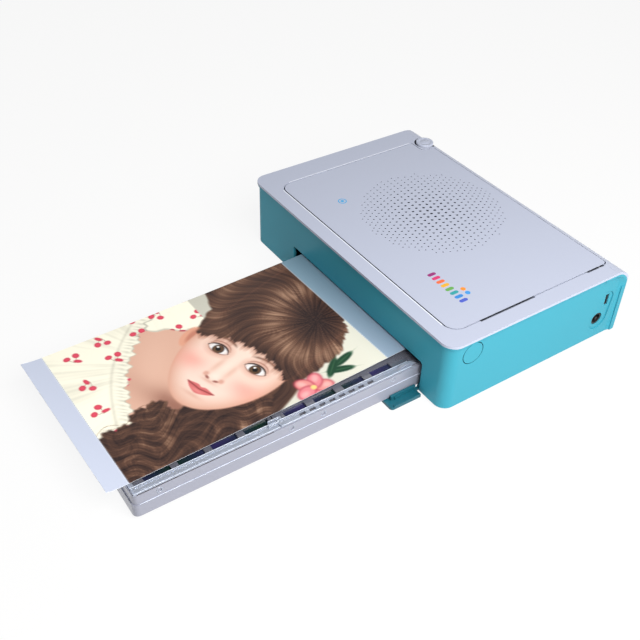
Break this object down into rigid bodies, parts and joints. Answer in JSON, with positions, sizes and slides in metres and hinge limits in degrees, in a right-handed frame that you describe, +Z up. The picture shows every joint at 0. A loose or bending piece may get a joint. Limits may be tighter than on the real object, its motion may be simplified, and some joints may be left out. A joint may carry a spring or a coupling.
{
  "type": "compact photo printer",
  "caption": "Low box printer with a hinged top cover, perforated grille, fold-down front flap, long paper tray and a photo print lying on the tray.",
  "frame": {"origin": "on the table under the middle of the whole outline, with the tray docked and the print lying on it", "axes": "+Z up, -Y towards the front where the tray comes out, +X to the right seen from the front"},
  "size_m": [0.192, 0.3084, 0.046],
  "materials": {
    "teal_plastic": "satin moulded",
    "white_plastic": "fine satin, slightly cool",
    "tray_plastic": "translucent grey-lavender",
    "clear_plastic": "clear",
    "dark_plastic": "matte moulded",
    "gear_plastic": "natural acetal",
    "steel": "plain",
    "brass": "machined",
    "aluminium": "anodised",
    "rubber": "matte",
    "ceramic": "glazed",
    "paper": "satin",
    "print_paper": "glossy print",
    "ribbon": "glossy film",
    "board": "solder mask"
  },
  "bodies": {
    "housing": {"base_shell": "teal_plastic", "top_frame": "white_plastic", "inner_deck": "dark_plastic", "cover_hinge_pins": "steel", "button_board": "board", "latch_guide": "dark_plastic", "flap_pins": "steel", "ribbon_cartridge": "dark_plastic", "ribbon_film": "ribbon", "pickup_shaft": "steel", "drive_motor": "steel", "motor_bracket": "steel", "gear_studs": "steel", "chassis_left": "steel", "chassis_right": "steel", "paper_guides": "dark_plastic", "main_board": "board", "port_board": "board", "dc_jack": "dark_plastic", "usb_port": "steel", "rubber_feet": "rubber", "case_screws": "steel", "chassis_screws": "steel"},
    "cover": {"top_cover": "white_plastic", "head_carrier": "steel", "fan_frame": "dark_plastic", "head_springs": "steel"},
    "head": {"thermal_head": "ceramic", "heat_sink": "aluminium"},
    "fan": {"fan_rotor": "dark_plastic"},
    "power_button": {"power_button": "white_plastic"},
    "release_button": {"release_button": "teal_plastic"},
    "latch": {"latch_slider": "gear_plastic"},
    "flap": {"flap_door": "teal_plastic"},
    "tray": {"paper_tray": "tray_plastic", "tray_lid_front": "clear_plastic", "tray_lid_rear": "clear_plastic", "paper_stack": "paper", "lift_hinge_pins": "steel"},
    "lift": {"lift_plate": "steel"},
    "print": {"print_sheet": "print_paper"},
    "supply_spool": {"supply_spool": "gear_plastic", "supply_ribbon": "ribbon"},
    "takeup_spool": {"takeup_spool": "gear_plastic", "takeup_ribbon": "ribbon"},
    "platen": {"platen_roller": "rubber", "platen_shaft": "steel"},
    "feed": {"feed_roller": "steel", "feed_gear": "gear_plastic"},
    "pinch": {"pinch_roller": "rubber", "pinch_shaft": "steel"},
    "exit": {"exit_roller": "rubber", "exit_shaft": "steel", "exit_gear": "gear_plastic"},
    "pickup_arm": {"pickup_arm": "dark_plastic", "pickup_axle": "steel"},
    "pickup_roller": {"pickup_roller": "rubber"},
    "pinion": {"motor_pinion": "brass"},
    "idler_front": {"idler_gear_front": "gear_plastic"},
    "idler_rear": {"idler_gear_rear": "gear_plastic"}
  },
  "joints": [
    {"name": "cover_hinge", "type": "hinge", "parent": "housing", "child": "cover", "pos_m": [0, 0.13816, 0.044], "axis": [-1, 0, 0], "range_deg": [0, 80]},
    {"name": "head_float", "type": "slide", "parent": "cover", "child": "head", "axis": [0, 0, 1], "range_m": [0, 0.0008], "stiffness_N_per_m": 2500, "deforming": ["head_springs"]},
    {"name": "fan_spin", "type": "hinge", "parent": "cover", "child": "fan", "pos_m": [0.017, 0.08916, 0.035], "axis": [0, 0, 1], "continuous": true},
    {"name": "power_press", "type": "slide", "parent": "housing", "child": "power_button", "axis": [0, 0, -1], "range_m": [0, 0.0008], "stiffness_N_per_m": 900},
    {"name": "release_press", "type": "slide", "parent": "housing", "child": "release_button", "axis": [-1, 0, 0], "range_m": [0, 0.0015], "stiffness_N_per_m": 500},
    {"name": "latch_slide", "type": "slide", "parent": "housing", "child": "latch", "axis": [-1, 0, 0], "range_m": [0, 0.0015]},
    {"name": "flap_hinge", "type": "hinge", "parent": "housing", "child": "flap", "pos_m": [0.013, 0.02386, 0.0021], "axis": [-1, 0, 0], "range_deg": [0, 1.4]},
    {"name": "tray_slide", "type": "slide", "parent": "housing", "child": "tray", "axis": [0, -1, 0], "range_m": [0, 0.025]},
    {"name": "lift_plate_hinge", "type": "hinge", "parent": "tray", "child": "lift", "pos_m": [0.017, -0.01484, 0.00475], "axis": [1, 0, 0], "range_deg": [-1.1, 0], "stiffness_Nm_per_rad": 1.2, "springref_deg": 0.57},
    {"name": "print_slide", "type": "slide", "parent": "housing", "child": "print", "axis": [0.027, -0.9996, 0], "range_m": [0, 0.015]},
    {"name": "supply_spin", "type": "hinge", "parent": "housing", "child": "supply_spool", "pos_m": [0.017, 0.11516, 0.031], "axis": [1, 0, 0], "continuous": true},
    {"name": "takeup_spin", "type": "hinge", "parent": "housing", "child": "takeup_spool", "pos_m": [0.017, 0.05416, 0.031], "axis": [1, 0, 0], "continuous": true},
    {"name": "platen_spin", "type": "hinge", "parent": "housing", "child": "platen", "pos_m": [0.017, 0.08716, 0.0126], "axis": [1, 0, 0], "continuous": true},
    {"name": "feed_spin", "type": "hinge", "parent": "housing", "child": "feed", "pos_m": [0.017, 0.07016, 0.0156], "axis": [1, 0, 0], "continuous": true},
    {"name": "pinch_spin", "type": "hinge", "parent": "housing", "child": "pinch", "pos_m": [0.017, 0.07016, 0.0234], "axis": [1, 0, 0], "continuous": true},
    {"name": "motor_spin", "type": "hinge", "parent": "housing", "child": "pinion", "pos_m": [0.017, 0.08616, 0.0156], "axis": [1, 0, 0], "continuous": true},
    {"name": "idler_rear_spin", "type": "hinge", "parent": "housing", "child": "idler_rear", "pos_m": [0.017, 0.05422, 0.0248], "axis": [1, 0, 0], "continuous": true},
    {"name": "idler_front_spin", "type": "hinge", "parent": "housing", "child": "idler_front", "pos_m": [0.017, 0.04355, 0.01637], "axis": [1, 0, 0], "continuous": true},
    {"name": "exit_spin", "type": "hinge", "parent": "housing", "child": "exit", "pos_m": [0.017, 0.03316, 0.02385], "axis": [1, 0, 0], "continuous": true},
    {"name": "pickup_lift", "type": "hinge", "parent": "housing", "child": "pickup_arm", "pos_m": [0.017, 0.06116, 0.0134], "axis": [-1, 0, 0], "range_deg": [0, 8]},
    {"name": "pickup_spin", "type": "hinge", "parent": "pickup_arm", "child": "pickup_roller", "pos_m": [0.017, 0.04416, 0.014], "axis": [1, 0, 0], "continuous": true}
  ],
  "couplings": [
    {"joint": "latch_slide", "follows": "release_press", "ratio": 1},
    {"joint": "motor_spin", "follows": "feed_spin", "ratio": -2.3333},
    {"joint": "idler_rear_spin", "follows": "feed_spin", "ratio": -1.5556},
    {"joint": "idler_front_spin", "follows": "feed_spin", "ratio": 1.75},
    {"joint": "exit_spin", "follows": "feed_spin", "ratio": -1.75},
    {"joint": "pinch_spin", "follows": "feed_spin", "ratio": -0.875}
  ]
}
